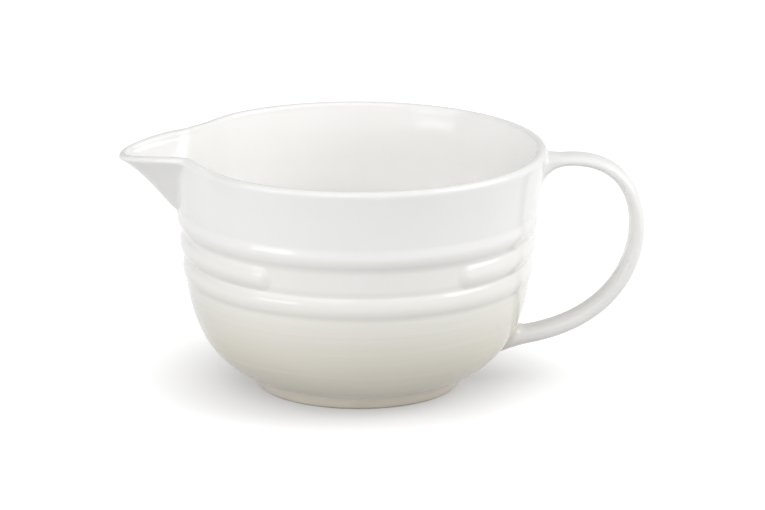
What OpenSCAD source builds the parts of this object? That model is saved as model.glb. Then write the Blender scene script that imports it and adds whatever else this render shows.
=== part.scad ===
// Batter bowl: a footed mixing bowl in glazed stoneware, with a pouring spout
// drawn out of its wall, a strap handle opposite and three raised bands round
// the belly. All lengths are in millimetres. The origin is the middle of the
// foot on the table, Z is up, the spout points to -X, the handle to +X, and
// the bare field that breaks the middle band faces -Y.

/* [Bowl] */
// Height of the rim above the table
bowl_h = 131; // [125:1:145]
// Outer radius of the wall just under the rounded rim
rim_r = 101; // [97:0.5:108]
// Thickness of the wall
wall_t = 5.4; // [4:0.2:6.6]
// Outer radius of the wall under the lowest band
belly_r = 92.4; // [88:0.2:95]
// Lean of the wall from upright under the lowest band, in degrees
belly_lean = 5.6; // [3:0.2:9]
// Radius of the long arc of the belly
belly_arc_r = 89; // [80:1:105]
// Radius of the tighter arc that turns in to the foot
turn_arc_r = 47.5; // [46:0.5:55]
// Height at which the two arcs meet
turn_z = 32.5; // [28:0.5:38]
// Thickness of the floor
floor_t = 7; // [5:0.5:10]
// How far the wall over the bands curves in from a straight line
wall_sag = 0.4; // [0:0.1:1.5]

/* [Foot] */
// Height of the foot ring
foot_h = 8; // [6:0.5:11]
// Outer radius of the foot ring on the table
foot_r = 55; // [52:0.5:58]
// Outer radius of the foot ring where it meets the bowl
foot_top_r = 57.4; // [55:0.2:60]
// Inner radius of the foot ring
foot_in_r = 48; // [42:0.5:50]
// Height of the bowl's underside inside the foot ring
base_z = 4.5; // [3:0.25:5.5]
// Rounding of the foot ring's lower edges
foot_round = 1.2; // [0.5:0.1:2]

/* [Bands] */
// Height of the lowest band's lower edge
band_z = 59.8; // [54:0.2:64]
// Height of the lower band, groove to groove
lower_band_h = 11.8; // [9:0.2:14]
// Height of the middle band, groove to groove
middle_band_h = 13.5; // [10:0.5:16]
// Height of the upper band, groove to its top edge
upper_band_h = 14.4; // [12:0.1:16]
// How far the lower band stands out of the wall
lower_band_rise = 1.6; // [0.8:0.1:3]
// How far the middle band stands out of the wall
middle_band_rise = 2.2; // [0.8:0.1:3]
// How far the upper band stands out of the wall
upper_band_rise = 1.6; // [0.8:0.1:3]
// Outer radius of the wall at the groove under the middle band
low_groove_r = 92.6; // [89:0.2:95]
// Outer radius of the wall at the groove over the middle band
high_groove_r = 94; // [90:0.2:96]
// Outer radius of the wall at the top of the upper band
shoulder_r = 96.6; // [93:0.1:99]
// Width of the bare field, as an angle seen from the bowl's axis, in degrees
field_angle = 65.6; // [40:0.4:90]

/* [Spout] */
// Distance of the spout's tip from the bowl's axis
spout_reach = 128; // [118:1:138]
// How far the spout's chin stands out of the wall just over the bands
chin_rise = 4.2; // [3:0.1:7]
// Radius of the chin, seen from above
chin_r = 8; // [5:0.5:14]
// How far the lip rolls out beyond the keel's straight line
lip_roll = 5.2; // [0:0.1:7]
// Radius of the spout's nose, seen from above
nose_r = 17.5; // [12:0.5:22]
// Radius of the channel's end, seen from above
channel_r = 12.5; // [10:0.5:18]
// Thickness of the lip at the spout's tip
lip_t = 4.2; // [3.4:0.2:6]
// How far the rim is drawn in on each side of the spout
draw_in = 2.4; // [0:0.1:6]
// How far the rim rises at the spout's throat
throat_rise = 2; // [0:0.2:4]
// How far the spout's tip lies under the rim
tip_drop = 2.8; // [0:0.2:6]
// Width of the soft valley between the spout and the wall
spout_blend = 2.5; // [1.5:0.5:8]

/* [Handle] */
// Distance of the strap's middle from the bowl's axis, at its widest
handle_reach = 150.3; // [140:0.1:165]
// Height of that widest point
handle_reach_z = 85.1; // [80:0.1:92]
// Height of the lower root's middle
lower_root_z = 23.9; // [21:0.1:27]
// Width of the strap
strap_w = 17; // [12:0.5:22]
// Thickness of the strap at its upper end
strap_t = 6.4; // [5:0.1:10]
// Thickness of the strap at its widest point
strap_mid_t = 8.5; // [6:0.1:11]
// Thickness of the strap at its lower end
strap_low_t = 9.3; // [7:0.1:12]

/* [Hidden] */

// Heights of the wall's stations, from the foot up
low_groove_z = band_z + lower_band_h;
high_groove_z = low_groove_z + middle_band_h;
shoulder_z = high_groove_z + upper_band_h;
rim_z = bowl_h - wall_t / 2;
floor_z = base_z + floor_t;

// Centres of the belly's long arc and of the tighter arc that runs on from it
belly_c = [belly_r - belly_arc_r * cos(belly_lean), band_z + belly_arc_r * sin(belly_lean)];
turn_r = arc_r(belly_c, belly_arc_r, turn_z);
turn_dir = ([turn_r, turn_z] - belly_c) / belly_arc_r;
turn_c = [turn_r, turn_z] - turn_arc_r * turn_dir;
inner_turn_z = belly_c.y + (belly_arc_r - wall_t) * turn_dir.y;

// Wall stations behind the bands, as heights and outer radii
wall_line = [
    [band_z, belly_r],
    [low_groove_z, low_groove_r],
    [high_groove_z, high_groove_r],
    [shoulder_z, shoulder_r],
];

// Steps of the belly's arcs, of the wall over the bands, of the rim's half turn and of a band's crown
arc_steps = 28;
wall_steps = 6;
rim_steps = 12;
band_steps = 12;
round_steps = 4;
// Steps along the middle band and along each of its rounded ends
band_columns = 96;
end_steps = 8;
// How full a band's crown is: 1 is a sine wave, less is fuller
crown_share = 0.8;
// Where the upper band's crest lies between its groove and the place where it fades into the wall
crest_share = 0.53;

// Half of the angle that the spout's piece takes out of the wall
spout_half_angle = 60;
// Azimuth of the deepest drawn-in place, and the half width of that stretch
draw_angle = 31.5;
draw_half_width = 21;
// Azimuths between which the risen throat falls back to the level rim
throat_angle = 14;
throat_end_angle = 38;
// Share of the spout's height over which the chin rounds out of the wall
chin_share = 0.12;
// How late the lip rolls out of the keel, and the channel's bed rises out of the wall
roll_share = 5;
bed_share = 4;
// How the lip falls towards the tip: 1 is straight, more falls later
lip_fall_share = 1.6;
// Rows of the spout's wall, as shares of its height
row_shares = [0, 0.02, 0.05, 0.09, 0.15, 0.25, 0.37, 0.5, 0.64, 0.78, 0.9, 1];
// Columns on each side of the spout, and how they crowd towards its tip
spout_columns = 26;
column_share = 1.6;

// Rounded strap: 1 is an ellipse, less is squarer
strap_share = 0.86;
strap_sides = 24;
// Lean of the strap where it comes out of each flared root, in degrees
upper_leave = 2.3;
lower_leave = 10.3;
// The upper root's middle and half height and the strap's climb over it, as shares of the wall over the bands
upper_root_share = 0.604;
upper_seat_share = 0.389;
upper_climb_share = 0.2;
// How far the strap's middle climbs over the lower root before it comes out of the flare
lower_climb = 0.6;
// Lengths that shape the strap's curve: at the upper root, over its widest point, under it, at the lower root
upper_pull = 28.8;
over_pull = 18;
under_pull = 18;
lower_pull = 53.2;
// Steps along each half of the strap, along each flared root and across its seat
strap_steps = 20;
flare_steps = 8;
seat_steps = 3;
// Reach of the flared roots from the wall
upper_flare = 13.4;
lower_flare = 6.7;
// How far each root spreads beyond the strap's sides
root_spread = 4.2;
// Half height of the lower root's seat
lower_seat = 9.3;
// How far the flare follows the strap, and then the wall, as shares of the ways there
follow_share = 0.6;
spread_share = 0.4;
// Steps in which the strap's line is followed to the wall
landing_steps = 4;
// How far the flare stays off the wall before it meets it
flare_lift = 0.4;

// Radius at height z of the arc with centre c, straight down under its lowest point
function arc_r(c, radius, z) = c.x + sqrt(max(0, pow(radius, 2) - pow(z - c.y, 2)));

// Outer radius of the wall over the bands, at share s of its height
function upper_wall(s) = shoulder_r + (rim_r - shoulder_r) * s - wall_sag * 4 * s * (1 - s);

// Outer and inner radius of the wall at height z
function outer_r(z) =
    z >= shoulder_z ? upper_wall((z - shoulder_z) / (rim_z - shoulder_z))
    : z >= band_z ? lookup(z, wall_line)
    : z >= turn_z ? arc_r(belly_c, belly_arc_r, z)
    : arc_r(turn_c, turn_arc_r, z);

function inner_r(z) =
    z >= band_z ? outer_r(z) - wall_t
    : z >= inner_turn_z ? arc_r(belly_c, belly_arc_r - wall_t, z)
    : arc_r(turn_c, turn_arc_r - wall_t, z);

// Half turn over the rim, from the outer radius to the inner one
function rim_arc(r_out, r_in, z, height) = [
    for (i = [1 : rim_steps - 1])
        let(turn = 180 * i / rim_steps)
        [(r_out + r_in) / 2 + (r_out - r_in) / 2 * cos(turn), z + height * sin(turn)]
];

// Heights between two levels, closer together near the lower one
function heights(low, high) = [for (i = [0 : arc_steps]) low + (high - low) * pow(i / arc_steps, 2)];

function reversed(list) = [for (i = [len(list) - 1 : -1 : 0]) list[i]];

// Heights of the wall's stations over the belly
wall_heights = concat(
    [low_groove_z, high_groove_z],
    [for (i = [0 : wall_steps]) shoulder_z + (rim_z - shoulder_z) * i / wall_steps]
);

// Half section of the bowl: underside, outer wall, rim, inner wall and floor
bowl_section = concat(
    [[0, base_z], [foot_in_r, base_z], [foot_in_r, foot_h]],
    [for (z = heights(foot_h, band_z)) [outer_r(z), z]],
    [for (z = wall_heights) [outer_r(z), z]],
    rim_arc(rim_r, rim_r - wall_t, rim_z, wall_t / 2),
    [for (z = reversed(wall_heights)) [inner_r(z), z]],
    [for (z = reversed(heights(floor_z, band_z))) [inner_r(z), z]],
    [[0, floor_z]]
);

module bowl_body() {
    color("ivory")
        difference() {
            rotate_extrude($fn = 180) polygon(bowl_section);
            spout_opening();
        }
}

// Sector of the wall that the spout's piece fills
module spout_opening() {
    over = wall_t;
    opening_in_r = min(inner_r(shoulder_z), inner_r(rim_z)) - over;
    opening_out_r = max(shoulder_r, rim_r) + over;
    opening_h = bowl_h - shoulder_z + over;
    rotate_extrude(angle = 2 * spout_half_angle, start = 180 - spout_half_angle, $fn = 180)
        translate([opening_in_r, shoulder_z])
            square([opening_out_r - opening_in_r, opening_h]);
}

// Quarter turn of the foot's lower edge about the given centre
function foot_corner(x, first) = [
    for (i = [0 : round_steps])
        let(turn = first + 90 * i / round_steps)
        [x + foot_round * cos(turn), foot_round + foot_round * sin(turn)]
];

module foot_ring() {
    section = concat(
        [[foot_in_r, foot_h]],
        foot_corner(foot_in_r + foot_round, 180),
        foot_corner(foot_r - foot_round, 270),
        [[foot_top_r, foot_h]]
    );
    color("antiquewhite") rotate_extrude($fn = 180) polygon(section);
}

// Height of a band's crown at a share x of the way up, between two grooves or fading into the wall over it
function crown(x) = pow(max(0, sin(180 * x)), crown_share);

function fading_crown(x) =
    x < crest_share ? pow(sin(90 * x / crest_share), crown_share)
    : pow(cos(90 * (x - crest_share) / (1 - crest_share)), 2);

// Section of a band between two wall stations, shrunk about its middle for the rounded ends
function band_section(low, high, rise, scale, fading = false) =
    let(middle = (low + high) / 2)
    let(from = middle + (low - middle) * scale)
    let(to = middle + (high - middle) * scale)
    [
        for (i = [0 : band_steps])
            let(x = i / band_steps)
            let(station = from + (to - from) * x)
            [station[1] + rise * scale * (fading ? fading_crown(x) : crown(x)), station[0]]
    ];

module band_arc(low, high, rise, start, angle, fading = false) {
    rotate_extrude(angle = angle, start = start, $fn = 180)
        polygon(band_section(low, high, rise, 1, fading));
}

function reversed_faces(faces) = [for (face = faces) reversed(face)];

module upper_band() {
    color("floralwhite") band_arc(wall_line[2], wall_line[3], upper_band_rise, 0, 360, fading = true);
}

module lower_band() {
    color("floralwhite") band_arc(wall_line[0], wall_line[1], lower_band_rise, 0, 360);
}

// The middle band stops short of the bare field: its sections shrink to a point on both sides of it
module middle_band() {
    low = wall_line[1];
    high = wall_line[2];
    middle = (low + high) / 2;
    end_angle = (high - low)[0] / 2 / middle[1] * 180 / PI;
    half_gap = field_angle / 2 + end_angle;
    first = -90 + half_gap;
    span = 360 - 2 * half_gap;
    turns = [for (j = [1 : end_steps - 1]) 90 * j / end_steps];
    // Azimuth and scale of each section, from one end to the other
    stations = concat(
        [for (turn = reversed(turns)) [first - end_angle * sin(turn), cos(turn)]],
        [for (i = [0 : band_columns]) [first + span * i / band_columns, 1]],
        [for (turn = turns) [first + span + end_angle * sin(turn), cos(turn)]]
    );
    points = concat(
        [
            for (station = stations)
                for (p = band_section(low, high, middle_band_rise, station[1]))
                    round_axis(p.x, station[0], p.y)
        ],
        [round_axis(middle[1], first - end_angle, middle[0])],
        [round_axis(middle[1], first + span + end_angle, middle[0])]
    );
    color("floralwhite") polyhedron(points = points, faces = tipped_skin(len(stations), band_steps + 1));
}

// Point at the given radius, azimuth and height
function round_axis(radius, azimuth, z) = [radius * cos(azimuth), radius * sin(azimuth), z];

// Larger of two radii, with a soft valley of the given width where they cross
function soft_max(a, b, width) = max(a, b) + pow(max(0, width - abs(a - b)), 2) / (4 * width);

// Radius at azimuth a of a parabola with its tip at distance tip and the given end radius
function nose(a, tip, end_r) =
    2 * tip / (cos(a) + sqrt(pow(cos(a), 2) + 2 * tip * pow(sin(a), 2) / end_r));

// Smooth rise from 0 to 1
function ease(x) = x * x * (3 - 2 * x);

// Hump of height 1 about the given azimuth on each side of the spout
function hump(a, centre, half_width) =
    abs(abs(a) - centre) < half_width ? pow(cos(90 * (abs(a) - centre) / half_width), 2) : 0;

// Drawn-in wall and drawn-out nose together, at azimuth a and share s of the height
function drawn(a, s, wall, tip, end_r) =
    let(drawn_wall = wall - draw_in * ease(s) * hump(a, draw_angle, draw_half_width))
    soft_max(drawn_wall, nose(a, tip, end_r), spout_blend);

// Distance of the keel from the bowl's axis at share s of its height: straight, then rolled out at the lip
function keel(s) =
    let(chin = shoulder_r + chin_rise)
    chin + (spout_reach - lip_roll - chin) * s + lip_roll * pow(s, roll_share);

// Outer and inner radius of the spout's piece: the chin rounds out of the wall, and so does the channel's bed
function spout_out(a, s) =
    let(out = sin(90 * min(1, s / chin_share)))
    let(tip = keel(s) - (chin_rise + spout_blend) * (1 - out))
    drawn(a, s, upper_wall(s), tip, chin_r + (nose_r - chin_r) * s);

function spout_in(a, s) =
    let(bed_t = lip_t + (chin_rise + wall_t - lip_t) * (1 - s))
    let(bed = keel(s) - bed_t - spout_blend * pow(1 - s, bed_share))
    drawn(a, s, upper_wall(s) - wall_t, bed, chin_r + (channel_r - chin_r) * s);

// Height of the rim over its level: up at the throat, down towards the tip
function lip_z(a) =
    let(out = max(0, spout_out(a, 1) - rim_r) / (spout_reach - rim_r))
    let(rise = abs(a) < throat_angle ? 1 : hump(a, throat_angle, throat_end_angle - throat_angle))
    throat_rise * rise - (throat_rise + tip_drop) * pow(out, lip_fall_share);

// Closed section of the spout's piece at azimuth a, up the outside and down the inside
function spout_section(a) =
    let(top = rim_z + lip_z(a))
    concat(
        [for (s = row_shares) [spout_out(a, s), shoulder_z + (top - shoulder_z) * s]],
        rim_arc(spout_out(a, 1), spout_in(a, 1), top, wall_t / 2),
        [for (s = reversed(row_shares)) [spout_in(a, s), shoulder_z + (top - shoulder_z) * s]]
    );

// Azimuths of the spout's columns, from one edge of its piece to the other
spout_azimuths = [
    for (i = [-spout_columns : spout_columns])
        sign(i) * spout_half_angle * pow(abs(i) / spout_columns, column_share)
];

module pouring_spout() {
    count = 2 * len(row_shares) + rim_steps - 1;
    last = len(spout_azimuths) - 1;
    points = [
        for (a = spout_azimuths)
            for (p = spout_section(a))
                [-p.x * cos(a), p.x * sin(a), p.y]
    ];
    skin = ring_skin(last, count);
    ends = concat(section_face(0, count), reversed_faces(section_face(last * count, count)));
    color("ivory") polyhedron(points = points, faces = concat(ends, reversed_faces(skin)));
}

// Face that closes one section: rungs between its outside and its inside, from its foot up to the rim
function section_face(start, count) = [
    for (i = [0 : (count - 3) / 2])
        let(far = count - 1 - i)
        for (face = i + 1 < far - 1 ? [[i, i + 1, far], [i + 1, far - 1, far]] : [[i, i + 1, far]])
            face + [start, start, start]
];

// Triangles between rings of points that follow each other
function ring_skin(rings, count) = [
    for (j = [0 : rings - 1])
        for (i = [0 : count - 1])
            let(a = j * count + i)
            let(b = j * count + (i + 1) % count)
            for (face = [[a, b, b + count], [a, b + count, a + count]])
                face
];

// Faces of a closed skin: rings of points that follow each other, then a tip point for each end
function tipped_skin(rings, count) =
    let(tip = rings * count)
    let(last = tip - count)
    concat(
        [for (k = [0 : count - 1]) [tip, (k + 1) % count, k]],
        ring_skin(rings - 1, count),
        [for (k = [0 : count - 1]) [tip + 1, last + k, last + (k + 1) % count]]
    );

// Point and direction on a cubic curve
function curve(p, t) =
    pow(1 - t, 3) * p[0] + 3 * pow(1 - t, 2) * t * p[1] + 3 * (1 - t) * t * t * p[2] + pow(t, 3) * p[3];

function curve_dir(p, t) =
    let(d = pow(1 - t, 2) * (p[1] - p[0]) + 2 * (1 - t) * t * (p[2] - p[1]) + t * t * (p[3] - p[2]))
    d / norm(d);

// The strap's middle line in the XZ plane: root to widest point, and on to the lower root
upper_wall_h = rim_z - shoulder_z;
upper_root_z = shoulder_z + upper_root_share * upper_wall_h;
upper_seat = upper_seat_share * upper_wall_h;
upper_climb = upper_climb_share * upper_wall_h;
widest = [handle_reach, handle_reach_z];
upper_start = [outer_r(upper_root_z) + upper_flare, upper_root_z + upper_climb];
lower_start = [outer_r(lower_root_z) + lower_flare, lower_root_z + lower_climb];
upper_line = [
    upper_start,
    upper_start + upper_pull * [cos(upper_leave), sin(upper_leave)],
    widest + [0, over_pull],
    widest,
];
lower_line = [
    widest,
    widest - [0, under_pull],
    lower_start + lower_pull * [cos(lower_leave), sin(lower_leave)],
    lower_start,
];

// Rounded rectangle: a point at the given turn, with half sizes 1
function rounded(turn) = [
    sign(cos(turn)) * pow(abs(cos(turn)), strap_share),
    sign(sin(turn)) * pow(abs(sin(turn)), strap_share),
];

// Ring of points round the strap, where its middle is p and it runs along dir
function strap_ring(p, dir, thick) = [
    for (k = [0 : strap_sides - 1])
        let(q = rounded(360 * k / strap_sides))
        let(side = thick / 2 * q.x * [-dir.y, dir.x])
        [p.x + side.x, strap_w / 2 * q.y, p.y + side.y]
];

// Point on the wall at half width y and height z, on the handle's side
function on_wall(y, z) = [sqrt(pow(outer_r(z), 2) - y * y), y, z];

// Ring of points on a root's seat, shrunk about the seat's middle
function seat_ring(root_z, half_h, scale) = [
    for (k = [0 : strap_sides - 1])
        let(q = rounded(360 * k / strap_sides) * scale)
        on_wall((strap_w / 2 + root_spread) * q.y, root_z + half_h * q.x)
];

// Point where a line from p with the given slope meets the wall, from a first guess of its height
function landing(p, slope, z, steps) =
    steps <= 0 ? on_wall(p.y, z)
    : landing(p, slope, p.z - (p.x - on_wall(p.y, z).x) * slope, steps - 1);

// Flared root: each point of the strap's ring runs on towards the wall and then spreads along it
function flare_ring(ring, dir, root_z, half_h, t) =
    let(seat = seat_ring(root_z, half_h, 1))
    [
        for (k = [0 : strap_sides - 1])
            let(foot = landing(ring[k], dir.y / dir.x, ring[k].z, landing_steps))
            let(follow = ring[k] + follow_share * (foot - ring[k]))
            let(spread = foot + spread_share * (seat[k] - foot) + [flare_lift, 0, 0])
            curve([ring[k], follow, spread, seat[k]], t)
    ];

// All rings of one root, from the strap's end to the last one inside its seat
function root_rings(ring, dir, root_z, half_h) = concat(
    [for (i = [1 : flare_steps]) flare_ring(ring, dir, root_z, half_h, i / flare_steps)],
    [for (i = [seat_steps - 1 : -1 : 1]) seat_ring(root_z, half_h, i / seat_steps)]
);

// Rings along one half of the strap, with the thickness running from one value to the other
function strap_rings(line, from_t, to_t, first) = [
    for (i = [first : strap_steps])
        let(t = i / strap_steps)
        strap_ring(curve(line, t), curve_dir(line, t), from_t + (to_t - from_t) * t)
];

module handle() {
    upper = strap_rings(upper_line, strap_t, strap_mid_t, 0);
    lower = strap_rings(lower_line, strap_mid_t, strap_low_t, 1);
    lower_end = lower[len(lower) - 1];
    upper_root = root_rings(upper[0], curve_dir(upper_line, 0), upper_root_z, upper_seat);
    lower_root = root_rings(lower_end, curve_dir(lower_line, 1), lower_root_z, -lower_seat);
    rings = concat(reversed(upper_root), upper, lower, lower_root);
    ring_points = [for (ring = rings) for (p = ring) p];
    points = concat(ring_points, [on_wall(0, upper_root_z), on_wall(0, lower_root_z)]);
    color("ivory") polyhedron(points = points, faces = tipped_skin(len(rings), strap_sides));
}

bowl_body();
foot_ring();
pouring_spout();
upper_band();
middle_band();
lower_band();
handle();
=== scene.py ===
"""A glazed stoneware batter bowl on a white table: the thrown body with its three bands, the
drawn pouring spout, the strap handle and the foot ring with its bare standing face.

The middle of the foot is the origin, the spout points along -X and the handle along +X.
"""

import math

import bpy
import numpy as np
from mathutils import Matrix, Vector


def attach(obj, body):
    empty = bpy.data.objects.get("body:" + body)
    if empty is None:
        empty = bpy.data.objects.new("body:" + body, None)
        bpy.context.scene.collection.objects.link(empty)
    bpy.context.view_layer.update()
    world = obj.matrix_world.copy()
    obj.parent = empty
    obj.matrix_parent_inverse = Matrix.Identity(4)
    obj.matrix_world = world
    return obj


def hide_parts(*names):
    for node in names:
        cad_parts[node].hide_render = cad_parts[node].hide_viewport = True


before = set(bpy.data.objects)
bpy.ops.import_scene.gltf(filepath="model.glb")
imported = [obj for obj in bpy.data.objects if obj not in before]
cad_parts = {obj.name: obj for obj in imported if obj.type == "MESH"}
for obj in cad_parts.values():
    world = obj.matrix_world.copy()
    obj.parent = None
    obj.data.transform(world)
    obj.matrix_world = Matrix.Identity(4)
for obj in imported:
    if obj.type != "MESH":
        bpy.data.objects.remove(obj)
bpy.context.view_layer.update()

MM = 0.001
# Keeps a division from zero
TINY = 1e-9


# Sizes of the bowl, in mm and degrees. The CAD part has nearly all of them.

RIM_H = 131.0
RIM_R = 101.0
WALL_T = 5.4
# Where the wall ends and the round rim starts
RIM_Z = RIM_H - WALL_T / 2
# How hollow the wall is between the bands and the rim
WALL_SAG = 0.4
# The rim's inner edge is a little squarer than a full round, which is 1
RIM_EDGE_SHARE = 0.72
# The belly leans in under the bands on a long arc, and turns in on a tighter one from TURN_Z down
BELLY_R = 92.4
BELLY_LEAN = 5.6
BELLY_ARC_R = 89.0
TURN_ARC_R = 47.5
TURN_Z = 32.5
FLOOR_T = 7.0

FOOT_R = 55.0
FOOT_IN_R = 48.0
BASE_Z = 4.5
FOOT_ROUND = 1.2
# How much wider the foot is at FLARE_Z than over its edge, and how far its inside leans in
FOOT_FLARE = 1.9
FLARE_Z = 5.4
FOOT_LEAN = 0.4
# Where belly and foot meet, and the floor inside
CREASE_Z = 7.0
FLOOR_Z = BASE_Z + FLOOR_T

BAND_Z = 59.8
LOW_BAND_H = 11.8
MID_BAND_H = 13.5
TOP_BAND_H = 14.4
LOW_BAND_RISE = 1.6
MID_BAND_RISE = 2.2
TOP_BAND_RISE = 1.6
LOW_GROOVE_Z = BAND_Z + LOW_BAND_H
HIGH_GROOVE_Z = LOW_GROOVE_Z + MID_BAND_H
SHOULDER_Z = HIGH_GROOVE_Z + TOP_BAND_H
LOW_GROOVE_R = 92.6
HIGH_GROOVE_R = 94.0
SHOULDER_R = 96.6
# The bare field that breaks the middle band at the front
FIELD_ANGLE = 65.6
# How far the soft ends of the middle band reach into the field, in degrees
BAND_END_REACH = 1.0
# How round the bands are: under 1 is fuller than a sine's crest
CROWN_SHARE = 0.8
# How softly each band leaves the wall on its lower flank: 1 is at once, more is later and rounder
LOW_BAND_FLANK = 1.1
MID_BAND_FLANK = 1.25
TOP_BAND_FLANK = 1.6
# How far up the top band its crest is
CREST_SHARE = 0.53
# Over how many mm the lowest band's edge fades into the belly
SEAM_FADE = 0.8

# The spout: its tip, its chin on the shoulder, its lip's roll, how wide its parabola is at the
# chin, outside at the lip and in the channel, and how thick the lip is
SPOUT_REACH = 128.0
CHIN_RISE = 4.2
CHIN_R = 8.0
LIP_ROLL = 5.2
NOSE_R = 17.5
CHANNEL_R = 12.5
LIP_T = 4.2
# How late the lip rolls out of the keel, and how soon the channel's bed rises out of the wall
LIP_ROLL_POWER = 4
BED_RISE_POWER = 4
# Widths of the rounds where the spout leaves the wall, outside and in its channel, and the share
# of the wall's height over which they open from the chin's
SPOUT_BLEND = 2.5
CHANNEL_BLEND = 5.0
BLEND_OPENS = 0.4
# The wall is drawn in by this much beside the spout
DRAW_IN = 2.4
DRAW_ANGLE = 31.5
DRAW_HALF_WIDTH = 21.0
# The rim rises at the throat and falls again to the tip, late where the power is over 1
THROAT_RISE = 2.0
THROAT_ANGLE = 14.0
THROAT_END_ANGLE = 38.0
TIP_DROP = 2.8
LIP_FALL_POWER = 1.6
# Under the shoulder the chin turns in by this many mm per mm, and sinks into the upper band
CHIN_TURN_IN = 1.08
CHIN_BLEND = 1.0
CHIN_DEPTH = 12.0
SPOUT_HALF_ANGLE = 60.0
# The spout's parabola counts only where the cosine of its bearing is over this
NOSE_LEAST_COS = 0.2

HANDLE_REACH = 150.3
HANDLE_REACH_Z = 85.1
# The upper root's height, climb and seat, as shares of the wall over the bands
UPPER_WALL_H = RIM_Z - SHOULDER_Z
ROOT_SHARE, CLIMB_SHARE, SEAT_SHARE = 0.604, 0.2, 0.389
UPPER_ROOT_Z = SHOULDER_Z + ROOT_SHARE * UPPER_WALL_H
LOWER_ROOT_Z = 23.9
STRAP_W = 17.0
STRAP_T = 6.4
STRAP_MID_T = 8.5
STRAP_LOW_T = 9.3
# How square the strap's section is: 1 is an ellipse, and less is squarer
STRAP_SHARE = 0.86
# Upper and lower root: the angle at which the strap leaves, its rise over the root's middle, the
# pulls on its curves (OVER and UNDER are at its widest point), how far out its flare starts, and
# half the height of its seat
UPPER_LEAVE, LOWER_LEAVE = 2.3, 10.3
UPPER_CLIMB, LOWER_CLIMB = CLIMB_SHARE * UPPER_WALL_H, 1.56
UPPER_PULL, OVER_PULL, UNDER_PULL, LOWER_PULL = 28.8, 18.0, 18.0, 47.8
UPPER_FLARE, LOWER_FLARE = 13.4, 12.0
UPPER_SEAT, LOWER_SEAT = SEAT_SHARE * UPPER_WALL_H, 12.0
ROOT_SPREAD = 4.2
# How far each root keeps the strap's line, and how late it has spread: the lower one is rounder
UPPER_FOLLOW, UPPER_SPREAD = 0.6, 0.4
LOWER_FOLLOW, LOWER_SPREAD = 0.45, 0.5
FLARE_LIFT = 0.4
LANDING_STEPS = 4

# Steps of the meshes
STRAP_SIDES = 48
STRAP_STEPS = 48
FLARE_STEPS = 24
RIM_STEPS = 14
BAND_ROWS = 18
WALL_SHARES = np.linspace(0, 1, 19)
# Columns of the bowl's skin: degrees between them, plain and fine, and how far past the spout and
# round the middle band's end they stay fine
PLAIN_STEP, FINE_STEP = 1.0, 0.5
SPOUT_MARGIN, BAND_END_MARGIN = 3, 10
# How much of a band's rows crowd towards its grooves
GROOVE_EASE = 0.7
# The inside's and the outside's line: over how many mm their corners are softened, the longest
# step in mm from row to row, and the sharpest turn in degrees
INSIDE_SOFT, INSIDE_STEP, INSIDE_TURN = 7.0, 3.2, 5.0
OUTSIDE_SOFT, OUTSIDE_STEP, OUTSIDE_TURN = 0.9, 2.2, 13.0
# The handle's roots close in smaller rings, sunk this deep in the wall
SINK = 0.4
SUNK_SCALES = (0.97, 0.6, 0.3)
# Hidden closing faces lie this far inside the wall, at the heights of the CAD's joints
JOINT_INSET = 1.0
JOINT_LEVELS = (SHOULDER_Z, HIGH_GROOVE_Z, LOW_GROOVE_Z, BAND_Z)
# The glaze softens the bands' edges: places before and after a point, in mm, and their weights
GLAZE_TAPS = ((-0.55, 0.25), (0.0, 0.5), (0.55, 0.25))


# Curves of the wall, in mm. A bearing is an angle round the bowl from the spout, in degrees; the
# front is at -90.


def smooth(x):
    """A ramp from 0 to 1 that leaves and arrives level."""
    x = np.clip(x, 0.0, 1.0)
    return x * x * (3 - 2 * x)


def soft_max(a, b, width):
    """The larger of two lengths, with a round of that width where they cross."""
    gap = np.maximum(0.0, width - np.abs(a - b))
    return np.maximum(a, b) + gap * gap / (4 * width)


def two_arcs():
    """Centres (r, z) of the belly's arc and of the tighter arc under it, which meet at TURN_Z."""
    lean = math.radians(BELLY_LEAN)
    belly = (
        BELLY_R - BELLY_ARC_R * math.cos(lean),
        BAND_Z + BELLY_ARC_R * math.sin(lean),
    )
    rise = (TURN_Z - belly[1]) / BELLY_ARC_R
    run = math.sqrt(1 - rise * rise)
    turn = (
        belly[0] + (BELLY_ARC_R - TURN_ARC_R) * run,
        belly[1] + (BELLY_ARC_R - TURN_ARC_R) * rise,
    )
    return belly, turn


BELLY_C, TURN_C = two_arcs()


def arc_r(centre, radius, z):
    return centre[0] + np.sqrt(np.maximum(0.0, radius**2 - (z - centre[1]) ** 2))


def upper_wall(s):
    """Radius of the wall over the bands, s from 0 at the shoulder to 1 at the rim."""
    return SHOULDER_R + (RIM_R - SHOULDER_R) * s - WALL_SAG * 4 * s * (1 - s)


def outer_r(z):
    """Radius of the plain outer wall at height z."""
    z = np.asarray(z, float)
    line = np.interp(
        z,
        [BAND_Z, LOW_GROOVE_Z, HIGH_GROOVE_Z, SHOULDER_Z],
        [BELLY_R, LOW_GROOVE_R, HIGH_GROOVE_R, SHOULDER_R],
    )
    belly = arc_r(BELLY_C, BELLY_ARC_R, z)
    turn = arc_r(TURN_C, TURN_ARC_R, z)
    high = upper_wall((z - SHOULDER_Z) / (RIM_Z - SHOULDER_Z))
    return np.where(
        z >= SHOULDER_Z, high, np.where(z >= BAND_Z, line, np.where(z >= TURN_Z, belly, turn))
    )


# The camera stands where the photograph's did, far away with a long lens. Its clipping is in
# metres, its other lengths are in mm.

LENS = 233.27
NEAREST, FARTHEST = 0.1, 50
STAND_OFF = 2668.0
SIDE_ANGLE = 2.67
LOOK_DOWN = 15.5
ROLL = 0.299
STAND_H = 70.0
AIM = (13.12, -0.61, 70.1)


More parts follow.
